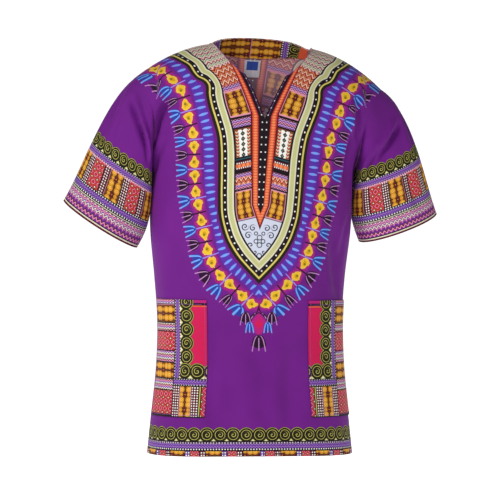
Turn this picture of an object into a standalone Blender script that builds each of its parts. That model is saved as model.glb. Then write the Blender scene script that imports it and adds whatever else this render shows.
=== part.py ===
"""Dashiki shirt as it is worn: a short-sleeved pullover of printed cotton, slit at the neck, with two patch pockets.

The cloth hangs hollow over a general figure. The front faces -Y and the wearer's left is at +X. The origin is the
middle of the neck at the height of the shoulder seams, where the wearer's shoulders carry it.
"""

import math

import bmesh
import bpy
import numpy as np

COLLECTION = "dashiki_shirt"

# The cloth
CLOTH = 0.0015
FACING_CLOTH = 0.001
SEAM_GAP = 0.0008
SLEEVE_GAP = 0.0009
LAID_GAP = 0.0003

# The body below the arms, as sections from the hem up
UNDERARM_Z = -0.215
TORSO = (
    {"height": -0.730, "half_width": 0.1855, "front": 0.121, "back": 0.113},
    {"height": -0.668, "half_width": 0.1790, "front": 0.119, "back": 0.111},
    {"height": -0.571, "half_width": 0.1690, "front": 0.114, "back": 0.105},
    {"height": -0.500, "half_width": 0.1670, "front": 0.111, "back": 0.102},
    {"height": -0.409, "half_width": 0.1730, "front": 0.113, "back": 0.105},
    {"height": -0.330, "half_width": 0.1810, "front": 0.116, "back": 0.110},
    {"height": -0.250, "half_width": 0.1835, "front": 0.117, "back": 0.112},
    {"height": UNDERARM_Z, "half_width": 0.1860, "front": 0.116, "back": 0.112},
)
SIDE_FULLNESS = 0.16
HEM_RISE = 0.005
HEM_RISE_REACH = 0.15

# The shoulders and the armholes
SHOULDER_HALF_WIDTH = 0.223
CREST_X = 0.063
CREST_Z = 0.0012
SHOULDER_BEND = 2.7
SHOULDER_ROUNDNESS = 2.4
ARMHOLE_EDGE = 0.58
ARMHOLE_FILLED = 0.45
ARMHOLE_CURVE = 0.012

# The neck: its outline from above is one rounded oval, deeper in front
NECK_HALF_WIDTH = 0.092
NECK_RISE_POWER = 1.05
NECK_RISE_SPREAD = 0.080
NECK_FRONT = {"half_depth": 0.098, "roundness": 2.6, "start": 0.036, "rise": 0.018}
NECK_BACK = {"half_depth": 0.063, "roundness": 2.1, "start": 0.0, "rise": 0.051}

# Rows and columns of cloth on each half of a panel
COLUMNS = 14
NECK_COLUMNS = 6
UPPER_ROWS = 10
SLIT_ROWS = 6
POCKET_TOP = -0.455
POCKET_BOTTOM = -0.661
POCKET_COLUMNS = (5, 13)
BELOW_POCKET = (-0.730, -0.697)
BESIDE_POCKET = 7
ABOVE_POCKET = (-0.420, -0.380, -0.340, -0.305, -0.272, -0.242, UNDERARM_Z)

# The sleeves, by the two ends of each cuff as seen from the front, and the way their top leaves the shoulder
SLEEVES = (
    {"name": "sleeve_right", "side": -1, "outer": (0.337, -0.287), "inner": (0.204, -0.3650), "top": (0.757, -0.654)},
    {"name": "sleeve_left", "side": 1, "outer": (0.341, -0.290), "inner": (0.200, -0.3480), "top": (0.900, -0.430)},
)
SLEEVE_RINGS = 10
CUFF_HALF_DEPTH = 0.050
CUFF_TILT = math.radians(12)
SLEEVE_UNDER_HEADING = (0.100, -0.995)
SLEEVE_INWARD = 0.10
SLEEVE_TOP_REACH = 0.070
SLEEVE_UNDER_REACH = 0.060
CUFF_REACH = 0.065

# The facing inside the back neck, and the label sewn in under it
FACING_ROWS = 2
FACING_COLUMNS = 6
LABEL_ROWS = (1.15, 2.85)
LABEL_HALF_COLUMNS = 0.62
LABEL_STEPS = 4

# The upper body leans to the wearer's left with that shoulder a little lower, and the lower body hangs plumb
LEAN = 0.055
DROP = 0.031
HEM_DROP = 0.010
LEAN_WHOLE_FROM = -0.20
LEAN_NONE_BELOW = -0.45

# The largest folds: soft troughs from one place on a panel to another, as seen from the front
FOLDS = (
    {"piece": "front", "start": (-0.160, -0.090), "end": (-0.184, -0.200), "half_width": 0.020, "depth": 0.0050},
    {"piece": "front", "start": (0.162, -0.110), "end": (0.172, -0.290), "half_width": 0.018, "depth": 0.0050},
    {"piece": "front", "start": (0.128, -0.300), "end": (0.150, -0.470), "half_width": 0.022, "depth": 0.0045},
    {"piece": "front", "start": (-0.150, -0.280), "end": (-0.136, -0.450), "half_width": 0.022, "depth": 0.0035},
    {"piece": "front", "start": (-0.050, -0.470), "end": (-0.062, -0.740), "half_width": 0.026, "depth": 0.0040},
    {"piece": "front", "start": (0.060, -0.520), "end": (0.052, -0.740), "half_width": 0.026, "depth": 0.0035},
    {"piece": "back", "start": (-0.150, -0.110), "end": (-0.172, -0.260), "half_width": 0.020, "depth": 0.0050},
    {"piece": "back", "start": (0.150, -0.110), "end": (0.165, -0.250), "half_width": 0.020, "depth": 0.0045},
    {"piece": "back", "start": (-0.100, -0.330), "end": (-0.118, -0.740), "half_width": 0.026, "depth": 0.0060},
    {"piece": "back", "start": (0.020, -0.380), "end": (0.030, -0.740), "half_width": 0.028, "depth": 0.0050},
    {"piece": "back", "start": (0.112, -0.340), "end": (0.128, -0.740), "half_width": 0.026, "depth": 0.0055},
)

FIGURE_HALF_WIDTH = 0.180
FIGURE_HALF_DEPTH = 0.115

# Base colour of each piece
COLOURS = {
    "front": (0.20, 0.022, 0.27),
    "back": (0.19, 0.020, 0.26),
    "sleeve_left": (0.21, 0.024, 0.28),
    "sleeve_right": (0.21, 0.024, 0.28),
    "back_neck_facing": (0.55, 0.30, 0.06),
    "pocket_left": (0.36, 0.12, 0.10),
    "pocket_right": (0.36, 0.12, 0.10),
    "neck_label": (0.80, 0.80, 0.82),
}
ROUGHNESS = 0.62

QUARTER_TURN = math.radians(90)
TINY = 1e-12
SAME_POINT = 1e-6
HALVINGS = 40


def smooth(value):
    """Eases from 0 to 1."""
    value = np.clip(value, 0.0, 1.0)
    return value * value * (3.0 - 2.0 * value)


def section(height, column):
    """A column of the torso table at any height, through its rows in one smooth curve."""
    heights = np.array([row["height"] for row in TORSO])
    values = np.array([row[column] for row in TORSO])
    slopes = np.gradient(values, heights)
    at = int(np.clip(np.searchsorted(heights, height) - 1, 0, len(heights) - 2))
    span = heights[at + 1] - heights[at]
    share = (height - heights[at]) / span
    rise = smooth(share)
    start = values[at] * (1 - rise) + slopes[at] * span * share * (1 - share) ** 2
    return start + values[at + 1] * rise - slopes[at + 1] * span * (1 - share) * share**2


def climb(level):
    """Share of the height from underarm to shoulder, and share of the depth left, at a level."""
    turn = QUARTER_TURN * level
    power = 2 / SHOULDER_ROUNDNESS
    return math.sin(turn) ** power, max(0.0, math.cos(turn)) ** power


def upper_height(x, level, neck):
    """Height of the cloth above the underarms: the shoulder line's share, with the climb to the neck."""
    rise = climb(level)[0]
    shoulder = CREST_Z - SHOULDER_BEND * max(0.0, x - CREST_X) ** 2
    reach = NECK_HALF_WIDTH + NECK_RISE_SPREAD * (1 - rise)
    climbing = neck["rise"] * max(0.0, 1 - (x / reach) ** 2) ** NECK_RISE_POWER
    return UNDERARM_Z + (shoulder + climbing - UNDERARM_Z) * rise


def armhole_x(level):
    """Distance of the armhole seam from the middle."""
    rise = climb(level)[0]
    straight = section(UNDERARM_Z, "half_width") * (1 - rise) + SHOULDER_HALF_WIDTH * rise
    return straight - ARMHOLE_CURVE * math.sin(math.pi * rise)


def upper_depth(x, level, half_depth):
    """How far the cloth above the underarms stands from the middle plane."""
    filled = math.sin(QUARTER_TURN * min(1.0, level / ARMHOLE_FILLED))
    edge = ARMHOLE_EDGE * math.sqrt(max(0.0, filled))
    across = x / armhole_x(level) * math.sqrt(1 - edge**2)
    fullness = 1 + SIDE_FULLNESS * across**2
    return half_depth * math.sqrt(max(0.0, 1 - across**2)) * fullness * climb(level)[1]


def level_at(x, depth, half_depth):
    """Level of the body, 0 at the underarms and 1 on the shoulder, where the cloth at x has this depth."""
    low, high = 0.0, 1.0
    for _ in range(HALVINGS):
        middle = (low + high) / 2
        if upper_depth(x, middle, half_depth) > depth:
            low = middle
        else:
            high = middle
    return high


def top_edge(neck, half_depth):
    """Where each column ends: at the neckline, then along the shoulder seam, as (x, level)."""
    power = 2 / neck["roundness"]
    first = math.asin((neck["start"] / NECK_HALF_WIDTH) ** (1 / power))
    ends = []
    for column in range(NECK_COLUMNS):
        turn = first + (QUARTER_TURN - first) * column / NECK_COLUMNS
        x = NECK_HALF_WIDTH * math.sin(turn) ** power
        ends.append((x, level_at(x, neck["half_depth"] * math.cos(turn) ** power, half_depth)))
    for x in np.linspace(NECK_HALF_WIDTH, SHOULDER_HALF_WIDTH, COLUMNS - NECK_COLUMNS + 1):
        ends.append((float(x), 1.0))
    return ends


def torso_heights():
    beside = np.linspace(POCKET_BOTTOM, POCKET_TOP, BESIDE_POCKET)
    return [*BELOW_POCKET, *beside, *ABOVE_POCKET]


def torso_row(height, which, facing):
    angles = np.linspace(0.0, QUARTER_TURN, COLUMNS + 1)
    lifted = HEM_RISE * smooth(1 - (height - TORSO[0]["height"]) / HEM_RISE_REACH)
    x = section(height, "half_width") * np.sin(angles)
    y = facing * section(height, which) * np.cos(angles) * (1 + SIDE_FULLNESS * np.sin(angles) ** 2)
    return np.stack([x, y, height + lifted * np.cos(angles) ** 2], axis=1)


def upper_row(share, ends, half_depth, neck, facing):
    """One row above the underarms, at a share of the way up every column."""
    slit_from = 1 - SLIT_ROWS / UPPER_ROWS
    slit = neck["start"] * max(0.0, (share - slit_from) / (1 - slit_from))
    row = []
    for column, (end_x, end_level) in enumerate(ends):
        level = share * end_level
        top_share = (end_x - neck["start"]) / (armhole_x(end_level) - neck["start"])
        low_share = math.sin(QUARTER_TURN * column / COLUMNS)
        spread = low_share + (top_share - low_share) * float(smooth(share))
        x = slit + (armhole_x(level) - slit) * spread
        row.append((x, facing * upper_depth(x, level, half_depth), upper_height(x, level, neck)))
    return np.array(row)


def half_panel(which, neck, facing):
    """Points of the half at +X, in rows from the hem up and columns from the middle out."""
    half_depth = section(UNDERARM_Z, which)
    ends = top_edge(neck, half_depth)
    rows = [torso_row(height, which, facing) for height in torso_heights()]
    for number in range(1, UPPER_ROWS + 1):
        rows.append(upper_row(number / UPPER_ROWS, ends, half_depth, neck, facing))
    points = np.array(rows)
    points[:, :, 1] += facing * SEAM_GAP / 2
    return points


def folded(points, piece):
    """The points with the piece's folds pressed in towards the body."""
    out = points.copy()
    outward = points / (FIGURE_HALF_WIDTH**2, FIGURE_HALF_DEPTH**2, np.inf)
    outward /= np.linalg.norm(outward, axis=-1, keepdims=True) + TINY
    for fold in FOLDS:
        if fold["piece"] != piece:
            continue
        start, end = np.array(fold["start"]), np.array(fold["end"])
        along = end - start
        length = np.linalg.norm(along)
        away = points[..., [0, 2]] - start
        share = (away @ along) / length**2
        across = (away[..., 0] * along[1] - away[..., 1] * along[0]) / length
        press = np.exp(-((across / fold["half_width"]) ** 2)) * np.sin(math.pi * np.clip(share, 0, 1))
        out -= outward * (fold["depth"] * press)[..., None]
    return out


def leaning(points):
    """The points with the upper body leaning aside."""
    out = points.copy()
    reach = LEAN_WHOLE_FROM - LEAN_NONE_BELOW
    share = np.clip((points[..., 2] - LEAN_NONE_BELOW) / reach, 0.0, 1.0)
    above = np.maximum(points[..., 2] - LEAN_WHOLE_FROM, 0.0)
    moved = LEAN * (above + reach * (share**3 - share**4 / 2))
    whole = LEAN * (-LEAN_WHOLE_FROM + reach / 2)
    out[..., 0] += moved - whole
    out[..., 2] -= points[..., 0] * (HEM_DROP + (DROP - HEM_DROP) * smooth(share))
    return out


def normals(points):
    across = np.gradient(points, axis=1)
    along = np.gradient(points, axis=0)
    out = np.cross(across, along)
    return out / (np.linalg.norm(out, axis=-1, keepdims=True) + TINY)


def between(points, row, column):
    """The point at a fractional row and column of a grid."""
    low_row, low_column = int(math.floor(row)), int(math.floor(column))
    up, right = row - low_row, column - low_column
    lower = points[low_row, low_column] * (1 - right) + points[low_row, low_column + 1] * right
    upper = points[low_row + 1, low_column] * (1 - right) + points[low_row + 1, low_column + 1] * right
    return lower * (1 - up) + upper * up


def material_for(name):
    material = bpy.data.materials.new(name)
    material.use_nodes = True
    shader = material.node_tree.nodes["Principled BSDF"]
    shader.inputs["Base Color"].default_value = (*COLOURS[name], 1.0)
    shader.inputs["Roughness"].default_value = ROUGHNESS
    shader.inputs["Metallic"].default_value = 0.0
    return material


def add_cloth(name, points, wall, open_between=None, turned=False):
    """A wall of cloth inward from a grid of outer points. The grid may be open between two of its columns."""
    shape = bmesh.new()
    verts = [[shape.verts.new(point) for point in row] for row in points]
    for low, high in zip(verts[:-1], verts[1:]):
        for column in range(len(low) - 1):
            if column == open_between:
                continue
            corners = [low[column], low[column + 1], high[column + 1], high[column]]
            shape.faces.new(corners[::-1] if turned else corners)
    bmesh.ops.remove_doubles(shape, verts=shape.verts, dist=SAME_POINT)
    mesh = bpy.data.meshes.new(name)
    shape.to_mesh(mesh)
    shape.free()
    mesh.materials.append(material_for(name))
    mesh.shade_smooth()
    piece = bpy.data.objects.new(name, mesh)
    bpy.data.collections[COLLECTION].objects.link(piece)
    shell = piece.modifiers.new("cloth", "SOLIDIFY")
    shell.thickness = wall
    shell.offset = -1.0
    return piece


def add_front(half):
    both = np.concatenate([(half * (-1, 1, 1))[:, ::-1], half], axis=1)
    points = leaning(folded(both, "front"))
    add_cloth("front", points, CLOTH, open_between=COLUMNS)
    return points


def add_back(half):
    both = np.concatenate([(half * (-1, 1, 1))[:, :0:-1], half], axis=1)
    points = leaning(folded(both, "back"))
    add_cloth("back", points, CLOTH, turned=True)
    return points


def add_pockets(front):
    """Patch pockets on the lower front, from the panel's own rows and columns."""
    first = len(BELOW_POCKET)
    rows = slice(first, first + BESIDE_POCKET)
    inner, outer = POCKET_COLUMNS
    places = {
        "pocket_left": slice(COLUMNS + 1 + inner, COLUMNS + 2 + outer),
        "pocket_right": slice(COLUMNS - outer, COLUMNS + 1 - inner),
    }
    raised = front + normals(front) * (LAID_GAP + CLOTH)
    for name, columns in places.items():
        add_cloth(name, raised[rows, columns], CLOTH)


def add_facing(back):
    """A strip of border cloth laid inside the back neck."""
    middle = COLUMNS
    columns = slice(middle - FACING_COLUMNS, middle + FACING_COLUMNS + 1)
    laid = back + normals(back) * (LAID_GAP + CLOTH)
    add_cloth("back_neck_facing", laid[-1 - FACING_ROWS :, columns], FACING_CLOTH, turned=True)


def add_label(back):
    """A woven label on the inside of the back, sewn in just under the facing."""
    laid = back + normals(back) * (LAID_GAP + CLOTH)
    last = len(back) - 1 - FACING_ROWS
    rows = np.linspace(last - LABEL_ROWS[1] + 1, last - LABEL_ROWS[0] + 1, LABEL_STEPS)
    columns = COLUMNS + LABEL_HALF_COLUMNS * np.array((-1.0, 0.0, 1.0))
    points = np.array([[between(laid, row, column) for column in columns] for row in rows])
    add_cloth("neck_label", points, FACING_CLOTH, turned=True)


def sleeve_points(sleeve, front_half, back_half):
    """Rings of a sleeve at +X, from the armhole down to the cuff, each from the underarm round by the front."""
    first = len(torso_heights()) - 1
    front_edge = front_half[first:, -1]
    back_edge = back_half[first:, -1]
    loop = np.concatenate([front_edge, back_edge[-2:0:-1]])
    loop[0, 1] = loop[UPPER_ROWS, 1] = 0.0
    turns = math.pi * np.arange(2 * UPPER_ROWS) / UPPER_ROWS
    outer, inner = np.array(sleeve["outer"]), np.array(sleeve["inner"])
    middle, half = (outer + inner) / 2, (outer - inner) / 2
    axis = np.array((half[1], -half[0])) / np.linalg.norm(half)
    rings = np.empty((SLEEVE_RINGS + 1, len(loop) + 1, 3))
    for number, (start, turn) in enumerate(zip(loop, turns)):
        top = (1 - math.cos(turn)) / 2
        depth = CUFF_HALF_DEPTH * math.sin(turn)
        seen = middle - half * math.cos(turn) + axis * depth * math.sin(CUFF_TILT)
        end = np.array((seen[0], -depth * math.cos(CUFF_TILT), seen[1]))
        heading = np.array(sleeve["top"]) * top + np.array(SLEEVE_UNDER_HEADING) * (1 - top)
        heading = np.array((heading[0], SLEEVE_INWARD * math.sin(turn), heading[1]))
        heading /= np.linalg.norm(heading)
        leave = heading * (SLEEVE_TOP_REACH * top + SLEEVE_UNDER_REACH * (1 - top))
        arrive = np.array((axis[0], 0.0, axis[1])) * CUFF_REACH
        for ring in range(SLEEVE_RINGS + 1):
            t = ring / SLEEVE_RINGS
            weights = ((1 - t) ** 3, 3 * t * (1 - t) ** 2, 3 * t**2 * (1 - t), t**3)
            controls = (start, start + leave, end - arrive, end)
            rings[ring, number] = sum(weight * control for weight, control in zip(weights, controls))
    rings[:, -1] = rings[:, 0]
    rings[..., 0] += SLEEVE_GAP
    return rings


def add_sleeves(front_half, back_half):
    for sleeve in SLEEVES:
        rings = sleeve_points(sleeve, front_half, back_half) * (sleeve["side"], 1, 1)
        add_cloth(sleeve["name"], leaning(rings), CLOTH, turned=sleeve["side"] > 0)


def main():
    for old in list(bpy.data.objects):
        bpy.data.objects.remove(old)
    bpy.context.scene.collection.children.link(bpy.data.collections.new(COLLECTION))
    front_half = half_panel("front", NECK_FRONT, -1)
    back_half = half_panel("back", NECK_BACK, 1)
    front = add_front(front_half)
    back = add_back(back_half)
    add_sleeves(front_half, back_half)
    add_pockets(front)
    add_facing(back)
    add_label(back)


main()
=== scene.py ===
import math

import bpy
import numpy as np
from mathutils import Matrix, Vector


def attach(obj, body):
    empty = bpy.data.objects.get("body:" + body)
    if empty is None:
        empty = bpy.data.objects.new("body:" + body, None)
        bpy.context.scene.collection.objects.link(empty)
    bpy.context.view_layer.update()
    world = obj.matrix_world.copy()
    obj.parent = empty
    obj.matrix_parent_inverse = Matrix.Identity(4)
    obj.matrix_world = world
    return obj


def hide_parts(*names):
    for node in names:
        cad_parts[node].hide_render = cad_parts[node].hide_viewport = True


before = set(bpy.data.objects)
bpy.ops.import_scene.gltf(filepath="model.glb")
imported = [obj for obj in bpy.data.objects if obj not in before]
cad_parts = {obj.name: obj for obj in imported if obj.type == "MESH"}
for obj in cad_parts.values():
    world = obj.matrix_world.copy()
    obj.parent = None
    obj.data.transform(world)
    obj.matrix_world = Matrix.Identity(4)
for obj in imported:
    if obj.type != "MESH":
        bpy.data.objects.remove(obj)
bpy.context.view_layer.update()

# Studio: a plain pale floor under the shirt, a main light from the upper left, and weaker ones from the right and from
# behind. The camera looks at the front from a little to the wearer's right, level with the middle of the shirt.
CAMERA_TURN = math.radians(-8)
CAMERA_DISTANCE = 3.2
CAMERA_AIM = Vector((-0.0177, 0.0, -0.367))
SEEN_WIDTH = 0.9
FLOOR_Z = -0.90
FLOOR_SIZE = 12.0
FLOOR_GLOW = 1.0
LIGHT_ALL_ROUND, BACKGROUND = 0.17, 1.1
PALE, FULL_WHITE = (0.93, 0.93, 0.93, 1.0), (1.0, 1.0, 1.0, 1.0)

scene = bpy.context.scene


def shaded(name, inputs):
    """A material, by the values of its shader's inputs."""
    material = bpy.data.materials.new(name)
    material.use_nodes = True
    for socket, value in inputs.items():
        material.node_tree.nodes["Principled BSDF"].inputs[socket].default_value = value
    return material


def aimed(name, data, place):
    """An object that looks from its place at the middle of the shirt."""
    holder = bpy.data.objects.new(name, data)
    holder.location = place
    holder.rotation_euler = (CAMERA_AIM - holder.location).to_track_quat("-Z", "Y").to_euler()
    scene.collection.objects.link(holder)
    return holder


camera_data = bpy.data.cameras.new("camera")
camera_data.angle = 2 * math.atan(SEEN_WIDTH / 2 / CAMERA_DISTANCE)
toward_camera = Vector((math.sin(CAMERA_TURN), -math.cos(CAMERA_TURN), 0.0))
scene.camera = aimed("camera", camera_data, CAMERA_AIM + toward_camera * CAMERA_DISTANCE)

bpy.ops.object.select_all(action="DESELECT")
bpy.ops.mesh.primitive_plane_add(size=FLOOR_SIZE, location=(0, 0, FLOOR_Z))
floor = bpy.context.object
floor.name = "floor"
floor_look = {"Base Color": PALE, "Roughness": 0.9, "Emission Color": PALE, "Emission Strength": FLOOR_GLOW}
floor.data.materials.append(shaded("pale_floor", floor_look))

LIGHTS = (
    {"name": "key", "place": (-2.3, -2.1, 1.5), "size": 0.9, "power": 54.0},
    {"name": "fill", "place": (2.2, -2.2, 0.2), "size": 2.0, "power": 5.0},
    {"name": "rear", "place": (0.3, 2.6, 1.0), "size": 2.4, "power": 18.0},
)
for light in LIGHTS:
    lamp = bpy.data.lights.new(light["name"], "AREA")
    lamp.shape = "DISK"
    lamp.size = light["size"]
    lamp.energy = light["power"]
    aimed(light["name"], lamp, light["place"])

world = bpy.data.worlds.new("studio")
scene.world = world
world.use_nodes = True
tree = world.node_tree
sky = tree.nodes["Background"]
sky.inputs["Color"].default_value = FULL_WHITE
light_path = tree.nodes.new("ShaderNodeLightPath")
strength = tree.nodes.new("ShaderNodeMapRange")
strength.inputs["To Min"].default_value = LIGHT_ALL_ROUND
strength.inputs["To Max"].default_value = BACKGROUND
tree.links.new(light_path.outputs["Is Camera Ray"], strength.inputs["Value"])
tree.links.new(strength.outputs["Result"], sky.inputs["Strength"])
scene.view_settings.view_transform = "Standard"

# Front: one panel of printed cotton, slit down the middle from the neck. It hangs from the shoulder seams, with
# stitched hem, neck and slit. Its shape comes from sections below the arms, and above them from the lines of the
# shoulder, the armhole and the neck.
CLOTH = 0.0012
LAID = 0.0018
SEAM_LAP = 0.0006
UNDERARM_Z = -0.215
HEM_Z = -0.730
TORSO = np.array((
    # height, half width, front depth, back depth
    (HEM_Z, 0.1855, 0.121, 0.113),
    (-0.668, 0.1790, 0.119, 0.111),
    (-0.571, 0.1690, 0.114, 0.105),
    (-0.500, 0.1670, 0.111, 0.102),
    (-0.409, 0.1730, 0.113, 0.105),
    (-0.330, 0.1810, 0.116, 0.110),
    (-0.250, 0.1835, 0.117, 0.112),
    (UNDERARM_Z, 0.1860, 0.116, 0.112),
))
HALF_WIDTH, FRONT_DEPTH, BACK_DEPTH = 1, 2, 3
SIDE_FULLNESS = 0.16
HEM_RISE = 0.005
HEM_RISE_REACH = 0.15
SHOULDER_HALF_WIDTH = 0.223
CREST_X = 0.063
CREST_Z = 0.0012
SHOULDER_BEND = 2.7
SHOULDER_ROUNDNESS = 2.4
ARMHOLE_EDGE = 0.58
ARMHOLE_FILLED = 0.45
ARMHOLE_CURVE = 0.012
NECK_HALF_WIDTH = 0.092
NECK_RISE_POWER = 1.05
NECK_RISE_SPREAD = 0.080
NECK_FRONT = {"half_depth": 0.098, "roundness": 2.6, "start": 0.036, "rise": 0.018}
NECK_BACK = {"half_depth": 0.063, "roundness": 2.1, "start": 0.0, "rise": 0.051}
LEAN = 0.055
DROP = 0.031
HEM_DROP = 0.010
LEAN_WHOLE_FROM = -0.20
LEAN_NONE_BELOW = -0.45
FIGURE = (0.180, 0.115)
COLUMNS = 14.0
NECK_COLUMNS = 6.0
SLIT_SHARE = 0.6
HALVINGS = 40
QUARTER_TURN = math.radians(90)
TINY = 1e-9
MM = 1000.0
CREASE_BEND = 0.06
CREASE_RIDGE = 0.7
CREASE_RIDGE_AT = 1.9
CREASE_DEPTH = 1.5
CREASE_FADE = 3
EDGE_STEPS = 6
MERGE = 1e-6
SHARP_EDGE = math.radians(60)
HALF_STEPS = 70
TORSO_STEPS = 116
UPPER_STEPS = 60
STEPS_OF_LENGTH = 24


def smooth(value):
    value = np.clip(value, 0.0, 1.0)
    return value * value * (3.0 - 2.0 * value)


def through(places, values, wanted):
    """The value at each wanted place, in one smooth curve through the values given."""
    slopes = np.gradient(values, places)
    at = np.clip(np.searchsorted(places, wanted) - 1, 0, len(places) - 2)
    span = places[at + 1] - places[at]
    share = (wanted - places[at]) / span
    rise = smooth(share)
    start = values[at] * (1 - rise) + slopes[at] * span * share * (1 - share) ** 2
    return start + values[at + 1] * rise - slopes[at + 1] * span * (1 - share) * share**2


def stacked(*parts):
    return np.stack(parts, axis=-1)


def unit(vectors):
    return vectors / (np.linalg.norm(vectors, axis=-1, keepdims=True) + TINY)


def measured(points, axis=0):
    """How far each point is along its row, its column or its path, from the first."""
    steps = np.linalg.norm(np.diff(points, axis=axis), axis=-1)
    return np.insert(np.cumsum(steps, axis=axis), 0, 0.0, axis=axis)


def section(height, column):
    return through(TORSO[:, 0], TORSO[:, column], height)


def climb(level):
    power = 2 / SHOULDER_ROUNDNESS
    turn = QUARTER_TURN * level
    return np.sin(turn) ** power, np.maximum(0.0, np.cos(turn)) ** power


def upper_height(x, level, neck):
    rise = climb(level)[0]
    shoulder = CREST_Z - SHOULDER_BEND * np.maximum(0.0, x - CREST_X) ** 2
    reach = NECK_HALF_WIDTH + NECK_RISE_SPREAD * (1 - rise)
    climbing = neck["rise"] * np.maximum(0.0, 1 - (x / reach) ** 2) ** NECK_RISE_POWER
    return UNDERARM_Z + (shoulder + climbing - UNDERARM_Z) * rise


def armhole_x(level):
    rise = climb(level)[0]
    straight = section(UNDERARM_Z, HALF_WIDTH) * (1 - rise) + SHOULDER_HALF_WIDTH * rise
    return straight - ARMHOLE_CURVE * np.sin(math.pi * rise)


def upper_depth(x, level, half_depth):
    filled = np.sin(QUARTER_TURN * np.minimum(1.0, level / ARMHOLE_FILLED))
    edge = ARMHOLE_EDGE * np.sqrt(np.maximum(0.0, filled))
    across = x / armhole_x(level) * np.sqrt(1 - edge**2)
    fullness = 1 + SIDE_FULLNESS * across**2
    return half_depth * np.sqrt(np.maximum(0.0, 1 - across**2)) * fullness * climb(level)[1]


def level_at(x, depth, half_depth):
    low, high = np.zeros_like(x), np.ones_like(x)
    for _ in range(HALVINGS):
        middle = (low + high) / 2
        deeper = upper_depth(x, middle, half_depth) > depth
        low, high = np.where(deeper, middle, low), np.where(deeper, high, middle)
    return high


def top_edge(columns, neck, half_depth):
    """Where each column ends, at the neckline and then along the shoulder seam, as x and level."""
    power = 2 / neck["roundness"]
    first = math.asin((neck["start"] / NECK_HALF_WIDTH) ** (1 / power))
    turn = first + (QUARTER_TURN - first) * np.minimum(columns / NECK_COLUMNS, 1.0)
    x = NECK_HALF_WIDTH * np.sin(turn) ** power
    level = level_at(x, neck["half_depth"] * np.maximum(0.0, np.cos(turn)) ** power, half_depth)
    along = np.maximum(0.0, columns - NECK_COLUMNS) / (COLUMNS - NECK_COLUMNS)
    x = x + (SHOULDER_HALF_WIDTH - NECK_HALF_WIDTH) * along
    return x, np.where(columns < NECK_COLUMNS, level, 1.0)


def torso_rows(heights, columns, which, facing):
    angle = (QUARTER_TURN * columns / COLUMNS)[None, :]
    height = heights[:, None]
    lifted = HEM_RISE * smooth(1 - (height - HEM_Z) / HEM_RISE_REACH)
    x = section(height, HALF_WIDTH) * np.sin(angle)
    y = facing * section(height, which) * np.cos(angle) * (1 + SIDE_FULLNESS * np.sin(angle) ** 2)
    points = stacked(x, y, height + lifted * np.cos(angle) ** 2)
    across = measured(points[..., :2], 1)
    up = np.broadcast_to(height - HEM_Z, across.shape)
    return points, stacked(across, up)


def upper_rows(shares, columns, neck, which, facing):
    """Rows above the underarms, with the cloth's own flat coordinates: across from the slit and up from the hem."""
    half_depth = section(UNDERARM_Z, which)
    end_x, end_level = top_edge(columns, neck, half_depth)
    share = shares[:, None]
    level = share * end_level[None, :]
    slit = neck["start"] * np.maximum(0.0, (share - 1 + SLIT_SHARE) / SLIT_SHARE)
    top_share = (end_x - neck["start"]) / (armhole_x(end_level) - neck["start"])
    low_share = np.sin(QUARTER_TURN * columns / COLUMNS)
    spread = low_share + (top_share - low_share)[None, :] * smooth(share)
    x = slit + (armhole_x(level) - slit) * spread
    depth = upper_depth(x, level, half_depth)
    points = stacked(x, facing * depth, upper_height(x, level, neck))
    part = np.linspace(0.0, 1.0, STEPS_OF_LENGTH)[:, None, None]
    from_slit = slit + (x - slit) * part
    across = measured(stacked(from_slit, upper_depth(from_slit, level, half_depth)))[-1]
    levels = level * part
    fixed_x = np.minimum(x, armhole_x(levels) * (1 - TINY))
    rise = stacked(upper_depth(fixed_x, levels, half_depth), upper_height(fixed_x, levels, neck))
    up = UNDERARM_Z - HEM_Z + measured(rise)[-1]
    return points, stacked(across, up)


def half_panel(heights, shares, columns, neck, which, facing):
    """The half of a panel at +X, in rows from the hem up, with its flat coordinates."""
    low, low_flat = torso_rows(heights, columns, which, facing)
    high, high_flat = upper_rows(shares, columns, neck, which, facing)
    points = np.concatenate([low, high])
    points[..., 1] -= facing * SEAM_LAP / 2
    return points, np.concatenate([low_flat, high_flat])


def both_halves(half, mirrored):
    """Both halves side by side, from -X to +X, with the middle column twice."""
    return np.concatenate([(half * mirrored)[:, ::-1], half], axis=1)


def from_line(places, start, end):
    """Each place's share of the way along a line, how far it is to the side, and the line's length."""
    away, along = places - np.array(start), np.array(end) - np.array(start)
    run = np.linalg.norm(along)
    return (away @ along) / run**2, (away[..., 0] * along[1] - away[..., 1] * along[0]) / run, run


def folded(points, folds):
    """The points with folds pressed in towards the body, or standing out where a depth is below zero."""
    out = points.copy()
    outward = unit(points / (FIGURE[0] ** 2, FIGURE[1] ** 2, np.inf))
    for start, end, half_width, depth in folds:
        share, across, _ = from_line(points[..., [0, 2]], start, end)
        press = np.exp(-((across / half_width) ** 2)) * np.sin(math.pi * np.clip(share, 0, 1))
        out -= outward * (depth * press)[..., None]
    return out


def normals(points):
    return unit(np.cross(np.gradient(points, axis=1), np.gradient(points, axis=0)))


def creased(points, flat, creases, held=True):
    """The points with narrow creases pressed in along lines of the flat cloth, in mm. Where the edges are held, they
    stay in place."""
    inward, depth = -normals(points), np.zeros(points.shape[:2])
    for start, end, half_width, deep in creases:
        share, across, run = from_line(flat * MM, start, end)
        bent = (across - run * CREASE_BEND * np.sin(math.pi * np.clip(share, 0, 1))) / half_width
        press = np.exp(-(bent**2)) - CREASE_RIDGE * np.exp(-((bent - CREASE_RIDGE_AT) ** 2))
        ends = smooth(share * CREASE_FADE) * smooth((1 - share) * CREASE_FADE)
        depth += deep * CREASE_DEPTH * press * ends
    if held:
        row, column = (smooth(np.minimum(np.arange(n), np.arange(n)[::-1]) / EDGE_STEPS) for n in depth.shape)
        depth *= row[:, None] * column
    return points + inward * (depth / MM)[..., None]


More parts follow.
